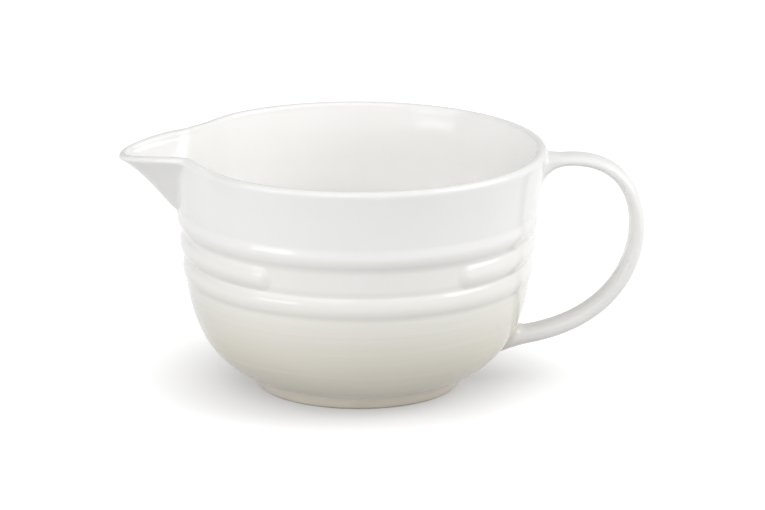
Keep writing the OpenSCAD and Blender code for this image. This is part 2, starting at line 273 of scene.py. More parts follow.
def set_camera():
    a, e = math.radians(SIDE_ANGLE), math.radians(LOOK_DOWN)
    back = Vector((-math.cos(e) * math.sin(a), -math.cos(e) * math.cos(a), math.sin(e)))
    place = Vector((0, 0, STAND_H)) + back * STAND_OFF
    view = (Vector(AIM) - place).normalized()
    right = view.cross(Vector((0, 0, 1))).normalized()
    up = right.cross(view)
    roll = math.radians(ROLL)
    turned = right * math.cos(roll) + up * math.sin(roll)
    top = turned.cross(view)
    data = bpy.data.cameras.new("camera")
    data.lens = LENS
    data.clip_start, data.clip_end = NEAREST, FARTHEST
    camera = bpy.data.objects.new("camera", data)
    bpy.context.scene.collection.objects.link(camera)
    turn = Matrix((turned, top, -view)).transposed().to_4x4()
    camera.matrix_world = Matrix.Translation(place * MM) @ turn
    bpy.context.scene.camera = camera


set_camera()
bpy.context.scene.view_settings.view_transform = "Standard"


# Lines of the profile, points (r, z) in mm.

FINE = 0.1
ARC_POINTS = 120


def softened(line, width):
    """The line with its corners rounded over that width, in steps of FINE mm."""
    line = np.asarray(line, float)
    along = np.concatenate([[0], np.cumsum(np.linalg.norm(np.diff(line, axis=0), axis=1))])
    steps = np.linspace(0, along[-1], int(along[-1] / FINE) + 1)
    line = np.column_stack([np.interp(steps, along, line[:, i]) for i in (0, 1)])
    reach = int(width / FINE)
    window = np.hanning(2 * reach + 3)[1:-1]
    before = 2 * line[0] - line[reach:0:-1]
    after = 2 * line[-1] - line[-2 : -reach - 2 : -1]
    longer = np.vstack([before, line, after])
    return np.column_stack(
        [np.convolve(longer[:, i], window / window.sum(), "valid") for i in (0, 1)]
    )


def thinned(line, longest, sharpest):
    """Fewer points of a fine line, at most longest mm and sharpest degrees of turn apart."""
    step = np.diff(line, axis=0)
    length = np.linalg.norm(step, axis=1)
    bearing = np.unwrap(np.arctan2(step[:, 1], step[:, 0]))
    turn = np.abs(np.diff(bearing, prepend=bearing[0]))
    effort = np.concatenate([[0], np.cumsum(length / longest + turn / math.radians(sharpest))])
    even = np.linspace(0, effort[-1], math.ceil(effort[-1]) + 1)
    picked = np.interp(even, effort, np.arange(len(line)))
    return line[np.unique(np.round(picked).astype(int))]


def arc_line(centre, radius, from_z, to_z):
    """Points of the outer half of an arc between two heights."""
    first, last = (math.asin((z - centre[1]) / radius) for z in (from_z, to_z))
    turn = np.linspace(first, last, ARC_POINTS)
    return np.column_stack([centre[0] + radius * np.cos(turn), centre[1] + radius * np.sin(turn)])


INNER_TURN_Z = TURN_C[1] + (TURN_Z - TURN_C[1]) * (TURN_ARC_R - WALL_T) / TURN_ARC_R


def inner_line():
    """Inside of the bowl from the middle of its floor up to the shoulder."""
    turn = arc_line(TURN_C, TURN_ARC_R - WALL_T, FLOOR_Z, INNER_TURN_Z)
    belly = arc_line(BELLY_C, BELLY_ARC_R - WALL_T, INNER_TURN_Z, BAND_Z)
    straight = [
        (LOW_GROOVE_R - WALL_T, LOW_GROOVE_Z),
        (HIGH_GROOVE_R - WALL_T, HIGH_GROOVE_Z),
        (SHOULDER_R - WALL_T, SHOULDER_Z),
    ]
    line = np.vstack([[(0, FLOOR_Z)], turn, belly[1:], straight])
    return thinned(softened(line, INSIDE_SOFT), INSIDE_STEP, INSIDE_TURN)


def outer_line():
    """Outside from the lowest groove down the belly, round the foot ring and in under the bowl."""
    belly = arc_line(BELLY_C, BELLY_ARC_R, BAND_Z, TURN_Z)
    turn = arc_line(TURN_C, TURN_ARC_R, TURN_Z, CREASE_Z)
    foot = [
        (FOOT_R + FOOT_FLARE, FLARE_Z),
        (FOOT_R, FOOT_ROUND),
        (FOOT_R - FOOT_ROUND, 0),
        (FOOT_IN_R + FOOT_ROUND, 0),
        (FOOT_IN_R, FOOT_ROUND),
        (FOOT_IN_R - FOOT_LEAN, BASE_Z),
        (0, BASE_Z),
    ]
    line = softened(np.vstack([belly, turn[1:], foot]), OUTSIDE_SOFT)
    return thinned(line, OUTSIDE_STEP, OUTSIDE_TURN)


# The bowl's skin is one grid: rows of its closed profile, and columns at bearings from the spout.


def column_bearings():
    """In degrees, closer together at the spout and at the middle band's two ends."""
    band_end = -90 - FIELD_ANGLE / 2
    bearings = [-180.0]
    while bearings[-1] < 180:
        here = bearings[-1]
        at_spout = abs(here) < SPOUT_HALF_ANGLE + SPOUT_MARGIN
        fine = at_spout or abs(here - band_end) < BAND_END_MARGIN
        bearings.append(here + (FINE_STEP if fine else PLAIN_STEP))
    return np.array(bearings[:-1])


BEARINGS = column_bearings()
ANGLES = np.radians(BEARINGS)


def hump(bearing, centre, half_width):
    """1 at the centre on both sides of the spout, and 0 outside the half width."""
    off = np.minimum(np.abs(np.abs(bearing) - centre) / half_width, 1)
    return np.cos(off * math.pi / 2) ** 2


def nose(tip, end_r):
    """Radius of a parabola in plan with its tip on the spout's side and that radius at its end."""
    c, s = np.cos(ANGLES), np.sin(ANGLES)
    radius = 2 * tip / (c + np.sqrt(c * c + 2 * tip * s * s / end_r) + TINY)
    return np.where(c > NOSE_LEAST_COS, radius, 0)


def drawn(s, wall, tip, end_r, blend):
    """The wall drawn in beside the spout and out into it, at share s of its height."""
    pinched = wall - DRAW_IN * smooth(s) * hump(BEARINGS, DRAW_ANGLE, DRAW_HALF_WIDTH)
    width = CHIN_BLEND + (blend - CHIN_BLEND) * smooth(s / BLEND_OPENS)
    return soft_max(pinched, nose(tip, end_r), width)


def keel(s):
    """How far out the spout's underside is, from the chin to the rolled lip."""
    chin = SHOULDER_R + CHIN_RISE
    return chin + (SPOUT_REACH - LIP_ROLL - chin) * s + LIP_ROLL * s**LIP_ROLL_POWER


def spout_out(s):
    """Radius of the outside over the bands at every bearing, at share s of its height."""
    end_r = CHIN_R + (NOSE_R - CHIN_R) * s
    return drawn(s, upper_wall(s), keel(s), end_r, SPOUT_BLEND)


def spout_in(s):
    """Radius of the inside there. The spout's bed is thickest behind the chin."""
    bed_t = LIP_T + (CHIN_RISE + WALL_T - LIP_T) * (1 - s)
    bed = keel(s) - bed_t - SPOUT_BLEND * (1 - s) ** BED_RISE_POWER
    end_r = CHIN_R + (CHANNEL_R - CHIN_R) * s
    return drawn(s, upper_wall(s) - WALL_T, bed, end_r, CHANNEL_BLEND)


def lip_rise():
    """How far the rim rises at the throat, and falls again towards the lip's tip."""
    out = np.maximum(0, spout_out(1) - RIM_R) / (SPOUT_REACH - RIM_R)
    rise = np.where(
        np.abs(BEARINGS) < THROAT_ANGLE,
        1,
        hump(BEARINGS, THROAT_ANGLE, THROAT_END_ANGLE - THROAT_ANGLE),
    )
    return THROAT_RISE * rise - (THROAT_RISE + TIP_DROP) * out**LIP_FALL_POWER


def crown(x, low_share):
    """A band's section from its lower groove at 0 to its upper one at 1."""
    x = np.clip(x, 0, 1)
    return np.sin(math.pi * x) ** np.where(x < 0.5, low_share, CROWN_SHARE)


def fading_crown(x):
    """The top band's section, which runs out into the wall over it."""
    x = np.clip(x, 0, 1)
    rising = np.sin(math.pi / 2 * np.minimum(x / CREST_SHARE, 1)) ** TOP_BAND_FLANK
    falling = np.cos(math.pi / 2 * np.clip((x - CREST_SHARE) / (1 - CREST_SHARE), 0, 1)) ** 2
    return np.where(x < CREST_SHARE, rising, falling)


def band_swell(bearing, z):
    """How far the three bands stand over the plain wall."""
    swell = LOW_BAND_RISE * crown((z - BAND_Z) / LOW_BAND_H, LOW_BAND_FLANK)
    swell = swell + TOP_BAND_RISE * fading_crown((z - HIGH_GROOVE_Z) / TOP_BAND_H)
    end_r = MID_BAND_H / 2
    off = np.abs((bearing + 90 + 180) % 360 - 180) - (FIELD_ANGLE / 2 - BAND_END_REACH)
    to_centre = np.maximum(0, end_r - np.radians(off) * HIGH_GROOVE_R)
    under = (LOW_GROOVE_Z + HIGH_GROOVE_Z) / 2 - z
    from_middle = np.hypot(under, to_centre) + TINY
    share = CROWN_SHARE + (MID_BAND_FLANK - CROWN_SHARE) * (1 + under / from_middle) / 2
    return swell + MID_BAND_RISE * crown(0.5 - from_middle / MID_BAND_H, share)


def glazed_r(z):
    """Radius of the banded wall at height z at every bearing, its edges softened by the glaze."""
    total = 0
    for z_off, z_weight in GLAZE_TAPS:
        for turn_off, turn_weight in GLAZE_TAPS:
            bearing = BEARINGS + math.degrees(turn_off / BELLY_R)
            level = z + z_off
            total = total + z_weight * turn_weight * (outer_r(level) + band_swell(bearing, level))
    return total


def band_levels(low, high):
    """Heights of a band's rows from its upper edge down, closer together at the grooves."""
    even = np.linspace(0, 1, BAND_ROWS + 1)
    eased = GROOVE_EASE * (1 - np.cos(math.pi * even)) / 2 + (1 - GROOVE_EASE) * even
    return high + (low - high) * eased


def rim_rows(inner, outer, top_z):
    """Rows over the rim, from its inner edge to its outer one."""
    middle, half = (inner + outer) / 2, (outer - inner) / 2
    rows = []
    for turn in np.linspace(0, math.pi, RIM_STEPS + 1)[1:-1]:
        share = RIM_EDGE_SHARE if turn < math.pi / 2 else 1
        across = math.copysign(abs(math.cos(turn)) ** share, math.cos(turn))
        rows.append((middle - half * across, top_z + WALL_T / 2 * math.sin(turn) ** share))
    return rows


def bowl_rows():
    """(radius, height) of each row at every column, and the row at which each part starts."""
    rows, starts = [], {}
    level = np.zeros_like(ANGLES)
    lip = lip_rise()
    top_z = RIM_Z + lip

    for r, z in inner_line()[1:]:
        rows.append((level + r, level + z))
    starts["inner_shoulder"] = len(rows) - 1
    for s in WALL_SHARES[1:]:
        rows.append((spout_in(s), SHOULDER_Z + (top_z - SHOULDER_Z) * s))
    rows += rim_rows(spout_in(1), spout_out(1), top_z)
    for s in WALL_SHARES[:0:-1]:
        rows.append((spout_out(s), SHOULDER_Z + (top_z - SHOULDER_Z) * s))
    starts["upper_band"] = len(rows)
    levels = band_levels(HIGH_GROOVE_Z, SHOULDER_Z)
    levels = np.append(levels, band_levels(LOW_GROOVE_Z, HIGH_GROOVE_Z)[1:])
    levels = np.append(levels, band_levels(BAND_Z, LOW_GROOVE_Z)[1:])
    for z in levels:
        r = glazed_r(z)
        if z > SHOULDER_Z - CHIN_DEPTH:
            chin = nose(keel(0) - CHIN_TURN_IN * (SHOULDER_Z - z), CHIN_R)
            r = soft_max(r, chin, CHIN_BLEND)
        rows.append((r, level + z))
    starts["middle_band"] = starts["upper_band"] + BAND_ROWS
    starts["lower_band"] = starts["middle_band"] + BAND_ROWS
    starts["belly"] = starts["lower_band"] + BAND_ROWS
    seam = glazed_r(BAND_Z) - BELLY_R
    for r, z in outer_line()[1:-1]:
        rows.append((level + r + seam * math.exp((z - BAND_Z) / SEAM_FADE), level + z))
    rows = np.array(rows)
    radii, heights = rows[:, 0, 0], rows[:, 1, 0]
    under_bands = np.arange(len(rows)) > starts["belly"]
    starts["foot"] = int(np.argmax(under_bands & (heights < CREASE_Z)))
    starts["underside"] = int(np.argmax(under_bands & (radii < FOOT_IN_R - 1)))
    return rows, starts


def skin_normals(points, faces):
    """Normals of the whole skin at its points, shared by the pieces that are cut from it."""
    normals = np.zeros_like(points)
    for corner in range(4):
        ids = faces[:, corner]
        ahead = points[faces[:, (corner + 1) % 4]] - points[ids]
        behind = points[faces[:, (corner + 3) % 4]] - points[ids]
        cross = np.cross(ahead, behind)
        size = np.linalg.norm(cross, axis=1, keepdims=True)
        np.add.at(normals, ids, cross / np.maximum(size, TINY))
    return normals / np.maximum(np.linalg.norm(normals, axis=1, keepdims=True), TINY)


def new_piece(name, points, faces, normals=None):
    """A mesh of points in mm, which rides on the part's one body. normals has one per corner."""
    mesh = bpy.data.meshes.new(name)
    mesh.from_pydata((np.asarray(points, float) * MM).tolist(), [], faces)
    mesh.shade_smooth()
    if normals is not None:
        mesh.normals_split_custom_set(normals)
    piece = bpy.data.objects.new(name, mesh)
    bpy.context.scene.collection.objects.link(piece)
    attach(piece, "root")
    return piece


class Skin:
    """The bowl's grid of points, from which closed pieces are cut that share their edges."""

    def __init__(self):
        rows, self.starts = bowl_rows()
        self.rows, self.columns = len(rows), len(ANGLES)
        rings = [
            np.broadcast_to([[outer_r(z) - JOINT_INSET], [z]], (2, self.columns))
            for z in JOINT_LEVELS
        ]
        rows = np.concatenate([rows, rings])
        r, z = rows[:, 0], rows[:, 1]
        grid = np.stack([-r * np.cos(ANGLES), r * np.sin(ANGLES), z], axis=2).reshape(-1, 3)
        poles = [(0, 0, FLOOR_Z), (0, 0, BASE_Z)]
        self.points = np.vstack([grid, poles])
        last = self.rows - 1
        whole = [self.cell(i, j) for i in range(last) for j in range(self.columns)]
        self.normals = skin_normals(self.points, np.array(whole))
        self.normals[-2:] = (0, 0, 1), (0, 0, -1)

    def at(self, row, column):
        return row * self.columns + column % self.columns

    def cell(self, row, column):
        return [
            self.at(row, column),
            self.at(row, column + 1),
            self.at(row + 1, column + 1),
            self.at(row + 1, column),
        ]

    def bridge(self, path, columns):
        """Faces inside the wall that close a piece along a path of rows."""
        return [
            [self.at(b, j), self.at(b, j + 1), self.at(a, j + 1), self.at(a, j)]
            for a, b in zip(path, path[1:])
            for j in columns
        ]

    def piece(self, name, skin, closing):
        """Faces of the skin with their shared normals, and the hidden ones that close them."""
        faces = skin + closing
        used = sorted({corner for face in faces for corner in face})
        place = {corner: n for n, corner in enumerate(used)}
        normals = [self.normals[corner] for face in skin for corner in face]
        for face in closing:
            p = self.points[face]
            flat = np.cross(p[1] - p[0], p[2] - p[0]) + np.cross(p[2] - p[0], p[-1] - p[0])
            normals += [flat / max(np.linalg.norm(flat), TINY)] * len(face)
        local = [[place[corner] for corner in face] for face in faces]
        return new_piece(name, self.points[used], local, normals)


def back(faces):
    return [face[::-1] for face in faces]


def cut_bowl():
    """The body, the spout, the bands and the foot ring, cut from one skin at the CAD's joints."""
    skin = Skin()
    start = skin.starts
    every = range(skin.columns)
    spout = range(
        int(np.argmin(np.abs(BEARINGS + SPOUT_HALF_ANGLE))),
        int(np.argmin(np.abs(BEARINGS - SPOUT_HALF_ANGLE))),
    )
    field = np.flatnonzero(np.abs(BEARINGS + 90) < FIELD_ANGLE / 2)
    bare = range(field[0], field[-1])
    banded = [j for j in every if j not in bare]
    inner, outer = start["inner_shoulder"], start["upper_band"]
    middle, lower, belly = start["middle_band"], start["lower_band"], start["belly"]
    foot, underside = start["foot"], start["underside"]

    def patch(first, last, columns):
        return [skin.cell(i, j) for i in range(first, last) for j in columns]

    joints = len(JOINT_LEVELS)
    shoulder_ring, high_ring, low_ring, belt_ring = range(skin.rows, skin.rows + joints)
    half = (outer - inner) // 2

    def section(column, under=()):
        """The cut through the wall over the bands at a column, as a ladder of faces."""
        rungs = []
        for n in range(half):
            up, down = inner + n, outer - n
            ids = [up, up + 1, down - 1, down] if up + 1 < down - 1 else [up, up + 1, down]
            rungs.append([skin.at(i, column) for i in ids])
        rungs[0] += [skin.at(i, column) for i in under]
        return rungs

    first, last = spout[0], spout[-1] + 1
    spout_closing = skin.bridge([inner, outer], spout) + section(first) + back(section(last))
    under_spout = section(first, [shoulder_ring]) + back(section(last, [shoulder_ring]))
    under_spout += skin.bridge([inner, shoulder_ring], spout)
    rest = [j for j in every if j not in spout]
    behind_upper = skin.bridge([shoulder_ring, high_ring, middle], every)
    behind_middle = skin.bridge([middle, high_ring, low_ring, lower], banded)
    behind_lower = skin.bridge([lower, low_ring, belt_ring, belly], every)
    on_foot = skin.bridge([foot, underside], every)
    band_rows = [*range(middle, lower + 1), low_ring, high_ring]
    band_ends = [
        [skin.at(i, field[0]) for i in band_rows][::-1],
        [skin.at(i, field[-1]) for i in band_rows],
    ]

    floor = (skin.rows + joints) * skin.columns
    base = floor + 1
    body = patch(0, inner, every) + patch(inner, outer, rest)
    body += patch(middle, lower, bare)
    body += patch(belly, foot, every) + patch(underside, skin.rows - 1, every)
    body += [[floor, skin.at(0, j + 1), skin.at(0, j)] for j in every]
    body += [[base, skin.at(skin.rows - 1, j), skin.at(skin.rows - 1, j + 1)] for j in every]
    ledge = skin.bridge([outer, shoulder_ring], every)
    hidden = under_spout + skin.bridge([outer, shoulder_ring], rest)
    hidden += skin.bridge([shoulder_ring, high_ring], every)
    hidden += skin.bridge([high_ring, low_ring], banded)
    hidden += skin.bridge([high_ring, middle], bare) + skin.bridge([lower, low_ring], bare)
    hidden += band_ends + skin.bridge([low_ring, belt_ring, belly], every) + on_foot
    return {
        "body": skin.piece("glazed_body", body, back(hidden)),
        "spout": skin.piece("glazed_spout", patch(inner, outer, spout), spout_closing),
        "upper": skin.piece("glazed_upper_band", patch(outer, middle, every), ledge + behind_upper),
        "middle": skin.piece(
            "glazed_middle_band", patch(middle, lower, banded), behind_middle + band_ends
        ),
        "lower": skin.piece("glazed_lower_band", patch(lower, belly, every), behind_lower),
        "foot": skin.piece("stoneware_foot_ring", patch(foot, underside, every), on_foot),
    }


# The strap handle, led along two curves of four points each


def curve(points, t):
    p = np.asarray(points, float)
    left = 1 - t
    ends = left**3 * p[0] + t**3 * p[3]
    return ends + 3 * left * t * (left * p[1] + t * p[2])


def curve_dir(points, t):
    legs = np.diff(np.asarray(points, float), axis=0)
    left = 1 - t
    d = left**2 * legs[0] + 2 * left * t * legs[1] + t**2 * legs[2]
    return d / np.linalg.norm(d)


def rounded():
    """Points of the strap's rounded section, 1 from its middle on both axes."""
    turn = np.linspace(0, 2 * math.pi, STRAP_SIDES, endpoint=False)
    c, s = np.cos(turn), np.sin(turn)
    return np.column_stack(
        [np.sign(c) * np.abs(c) ** STRAP_SHARE, np.sign(s) * np.abs(s) ** STRAP_SHARE]
    )


def strap_ring(p, direction, thick):
    """The strap's section square to its direction at a point (x, z)."""
    q = rounded()
    across = thick / 2 * q[:, :1] * np.array([[-direction[1], direction[0]]])
    return np.column_stack([p[0] + across[:, 0], STRAP_W / 2 * q[:, 1], p[1] + across[:, 1]])


def on_wall(y, z):
    """Points of the plain outer wall on the handle's side."""
    return np.column_stack([np.sqrt(outer_r(z) ** 2 - y * y), y, z])


def seat_ring(root_z, half_h, scale):
    """The outline on the wall that a root spreads to."""
    q = rounded() * scale
    return on_wall((STRAP_W / 2 + ROOT_SPREAD) * q[:, 1], root_z + half_h * q[:, 0])


def flare_rings(ring, direction, root_z, half_h, follow_share, spread_share):
    """Rings that run on from the strap's end to the wall, spread along it and close on it."""
    slope = direction[1] / direction[0]
    foot = on_wall(ring[:, 1], ring[:, 2])
    for _ in range(LANDING_STEPS):
        foot = on_wall(ring[:, 1], ring[:, 2] - (ring[:, 0] - foot[:, 0]) * slope)
    seat = seat_ring(root_z, half_h, 1)
    follow = ring + follow_share * (foot - ring)
    spread = foot + spread_share * (seat - foot) + np.array([FLARE_LIFT, 0, 0])
    steps = np.linspace(0, 1, FLARE_STEPS + 1)[1:]
    rings = [curve([ring, follow, spread, seat], t) for t in steps]
    sunk = [seat_ring(root_z, half_h, scale) - [[SINK, 0, 0]] for scale in SUNK_SCALES]
    return rings + sunk


def make_handle():
    """The strap from its upper root to its lower one, closed by a flare at both."""
    upper_root = np.array([float(outer_r(UPPER_ROOT_Z)) + UPPER_FLARE, UPPER_ROOT_Z + UPPER_CLIMB])
    lower_root = np.array([float(outer_r(LOWER_ROOT_Z)) + LOWER_FLARE, LOWER_ROOT_Z + LOWER_CLIMB])
    widest = np.array([HANDLE_REACH, HANDLE_REACH_Z])

    def pulled(root, angle, pull):
        a = math.radians(angle)
        return root + pull * np.array([math.cos(a), math.sin(a)])

    off_upper = pulled(upper_root, UPPER_LEAVE, UPPER_PULL)
    off_lower = pulled(lower_root, LOWER_LEAVE, LOWER_PULL)
    upper = [upper_root, off_upper, widest + [0, OVER_PULL], widest]
    lower = [widest, widest - [0, UNDER_PULL], off_lower, lower_root]
    rings = []
    for line, from_t, to_t in ((upper, STRAP_T, STRAP_MID_T), (lower, STRAP_MID_T, STRAP_LOW_T)):
        for t in np.linspace(0, 1, STRAP_STEPS + 1):
            if rings and t == 0:
                continue
            thick = from_t + (to_t - from_t) * t
            rings.append(strap_ring(curve(line, t), curve_dir(line, t), thick))
    first, last = curve_dir(upper, 0), curve_dir(lower, 1)
    top = flare_rings(rings[0], first, UPPER_ROOT_Z, UPPER_SEAT, UPPER_FOLLOW, UPPER_SPREAD)
    low = flare_rings(rings[-1], last, LOWER_ROOT_Z, -LOWER_SEAT, LOWER_FOLLOW, LOWER_SPREAD)
    rings = top[::-1] + rings + low
    count = len(rings) * STRAP_SIDES
    tips = [(float(outer_r(z)) - SINK, 0, z) for z in (UPPER_ROOT_Z, LOWER_ROOT_Z)]
    points = np.vstack(rings + [tips])
    faces = []
    for i in range(len(rings) - 1):
        for k in range(STRAP_SIDES):
            a, b = i * STRAP_SIDES + k, i * STRAP_SIDES + (k + 1) % STRAP_SIDES
            faces.append([a, a + STRAP_SIDES, b + STRAP_SIDES, b])
    for k in range(STRAP_SIDES):
        after = (k + 1) % STRAP_SIDES
        faces.append([count, k, after])
        faces.append([count + 1, count - STRAP_SIDES + after, count - STRAP_SIDES + k])
    return new_piece("glazed_handle", points, faces)


# Finishes

# The Mix node's sockets for its two colours, and its output for them
MIX_A, MIX_B, MIX_OUT = 6, 7, 2
FINE_DETAIL = 3.0


class Value:
    """A socket that gives a value. Arithmetic on it adds Math nodes to its finish."""

    def __init__(self, finish, socket):
        self.finish = finish
        self.socket = socket

    def maths(self, operation, a, b):
        return self.finish.add("ShaderNodeMath", {"operation": operation}, {0: a, 1: b})

    def __add__(self, other):
        return self.maths("ADD", self, other)

    def __sub__(self, other):
        return self.maths("SUBTRACT", self, other)

    def __rsub__(self, other):
        return self.maths("SUBTRACT", other, self)

    def __mul__(self, other):
        return self.maths("MULTIPLY", self, other)

    def __truediv__(self, other):
        return self.maths("DIVIDE", self, other)

    __radd__ = __add__
    __rmul__ = __mul__


class Finish:
    """The nodes of a material, or of the studio's surroundings."""

    def __init__(self, owner):
        owner.use_nodes = True
        self.tree = owner.node_tree
        self.tree.nodes.clear()

    def add(self, kind, settings=None, inputs=None, output=0):
        """A node with its settings, then the values or links of its sockets; gives one output."""
        node = self.tree.nodes.new(kind)
        for name, setting in (settings or {}).items():
            if name == "stops":
                for n, (place, colour) in enumerate(setting):
                    stop = node.color_ramp.elements[n] if n < 2 else node.color_ramp.elements.new(1)
                    stop.position, stop.color = place, (*colour, 1)
            else:
                setattr(node, name, setting)
        for name, value in (inputs or {}).items():
            if isinstance(value, Value):
                self.tree.links.new(value.socket, node.inputs[name])
            else:
                node.inputs[name].default_value = value
        return Value(self, node.outputs[output])

    def ramp(self, value, low, high):
        """0 under the low value and 1 over the high one, with a smooth way between."""
        limits = {"Value": value, "From Min": low, "From Max": high}
        return self.add("ShaderNodeMapRange", {"interpolation_type": "SMOOTHSTEP"}, limits)

    def distance(self, value, middle):
        return self.add("ShaderNodeMath", {"operation": "ABSOLUTE"}, {0: value - middle})

    def blend(self, share, a, b):
        """Colour a, and b where the share is 1."""
        colours = {0: share, MIX_A: a, MIX_B: b}
        return self.add("ShaderNodeMix", {"data_type": "RGBA"}, colours, output=MIX_OUT)

    def noise(self, scale, detail=2.0, roughness=0.5):
        """Cloudy noise from 0 to 1, with its scale along X, Y and Z in cycles per metre."""
        inputs = {"Vector": self.place(scale), "Scale": 1.0, "Detail": detail}
        return self.add("ShaderNodeTexNoise", {}, {**inputs, "Roughness": roughness})

    def place(self, scale):
        """The point on the bowl, in metres times the scale."""
        point = self.add("ShaderNodeTexCoord", output="Object")
        return self.add("ShaderNodeVectorMath", {"operation": "MULTIPLY"}, {0: point, 1: scale})

    def height(self):
        point = self.add("ShaderNodeTexCoord", output="Object")
        return self.add("ShaderNodeSeparateXYZ", {}, {0: point}, output="Z")

    def radius(self):
        """Distance from the bowl's axis."""
        flat = self.place((1, 1, 0))
        return self.add("ShaderNodeVectorMath", {"operation": "LENGTH"}, {0: flat}, output="Value")

    def by_height(self, stops):
        """A colour that runs through the stops, which are given by their height in mm."""
        shares = [(z / RIM_H, colour) for z, colour in stops]
        height = self.height() / (RIM_H * MM)
        return self.add("ShaderNodeValToRGB", {"stops": shares}, {"Fac": height})

    def bump(self, relief, strength, depth):
        values = {"Height": relief, "Strength": strength, "Distance": depth}
        return self.add("ShaderNodeBump", {}, values)

    def surface(self, shader):
        self.add_output("ShaderNodeOutputMaterial", shader)

    def add_output(self, kind, shader):
        node = self.tree.nodes.new(kind)
        self.tree.links.new(shader.socket, node.inputs["Surface"])


# Colours of the glaze outside, from the foot up to the rim, by height in mm: the glaze warms to
# ivory lower down, and the low colours are also darkened as painted shade under the belly
GLAZE_AND_SHADE_BY_HEIGHT = [
    (6, (0.665, 0.615, 0.515)),
    (33, (0.735, 0.708, 0.618)),
    (55, (0.815, 0.80, 0.74)),
    (73, (0.86, 0.85, 0.825)),
    (110, (0.875, 0.875, 0.865)),
]
# The inside's white glaze, made paler than the outside's as painted light inside the bowl
LIT_GLAZE_INSIDE = (0.935, 0.93, 0.915, 1)
# The handle's glaze, made paler than the wall's as painted light on the handle
LIT_GLAZE_ON_HANDLE = (0.885, 0.88, 0.865, 1)
# Radius of the middle of the wall, in metres, as greys by height in mm
WALL_LEVELS = (4, 12, 22, 33, 45, 60, 99, 128)
MIDDLE_OF_WALL = [(z, (float(outer_r(z) - WALL_T / 2) * MM,) * 3) for z in WALL_LEVELS]
# How far out of the middle of the wall the outside's glaze is whole, where the handle's starts and
# is whole, and where the wall's own face ends
OUTSIDE_AT = 1 * MM
HANDLE_FROM, HANDLE_AT = 3.2 * MM, 9 * MM
FACE_TO, FACE_END = 6 * MM, 9 * MM
GLAZE_IOR = 1.5
GLAZE_ROUGHNESS, CLOUDED_ROUGHNESS = 0.08, 0.06

# Painted shade under each band's lower edge, where its flank faces down, round these heights in mm
BAND_SHADE_LEVELS = (60.6, 73.6, 88.3)
BAND_SHADE_HALF_WIDTH = 2.6 * MM
PAINTED_BAND_SHADE = (0.70, 0.68, 0.62, 1)
BAND_SHADE_SHARE = 0.3

# Turning lines: faint all over and plainer low on the outside, which ends between two heights. A
# line is whole where the noise is LINE_REACH off its middle, and then shows by LINE_SHARE.
LINE_SCALE = (9, 9, 620)
LINES_EVERYWHERE, LINES_LOW_DOWN = 0.2, 0.8
LINES_FADE, LINES_END = 45 * MM, 90 * MM
LINE_REACH = 0.3
LINE_SHARE = 0.16
PALE_LINE = (0.93, 0.92, 0.88, 1)
DARK_LINE = (0.66, 0.64, 0.57, 1)

# Clouds in the glaze, soft ripples of its surface and its fine dimples
CLOUD_SCALE = (38, 38, 38)
CLOUD_FROM, CLOUD_TO = 0.45, 0.75
CLOUD_SHARE = 0.05
CLOUD = (0.72, 0.70, 0.65, 1)
RIPPLE_SCALE = (46, 46, 60)
DIMPLE_SCALE = (420, 420, 420)
RIPPLE_RELIEF, LINE_RELIEF, DIMPLE_RELIEF = 0.75, 0.18, 0.05
GLAZE_BUMP, GLAZE_BUMP_H = 0.35, 0.4 * MM

# The foot: warm thin glaze that ends in a wandering edge over the bare clay of its standing face
FOOT_GLAZE = (0.80, 0.745, 0.655, 1)
FOOT_CLOUD = (0.70, 0.64, 0.54, 1)
FOOT_CLOUD_SCALE = (60, 60, 60)
FOOT_CLOUD_FROM, FOOT_CLOUD_TO = 0.4, 0.75
FOOT_CLOUD_SHARE = 0.3
EDGE_SCALE = (160, 160, 20)
EDGE_WANDER = 0.9 * MM
BARE_TO, GLAZED_FROM = 0.25 * MM, 0.9 * MM
CLAY = (0.56, 0.47, 0.37, 1)
CLAY_GRAIN = (0.42, 0.35, 0.28, 1)
GRAIN_SCALE = (1500, 1500, 1500)
GRAIN_ROUGHNESS = 0.65
GRAIN_FROM, GRAIN_TO = 0.4, 0.7
CLAY_BUMP, CLAY_BUMP_H = 0.5, 0.12 * MM
FOOT_ROUGHNESS, CLAY_ROUGHNESS = 0.24, 0.6


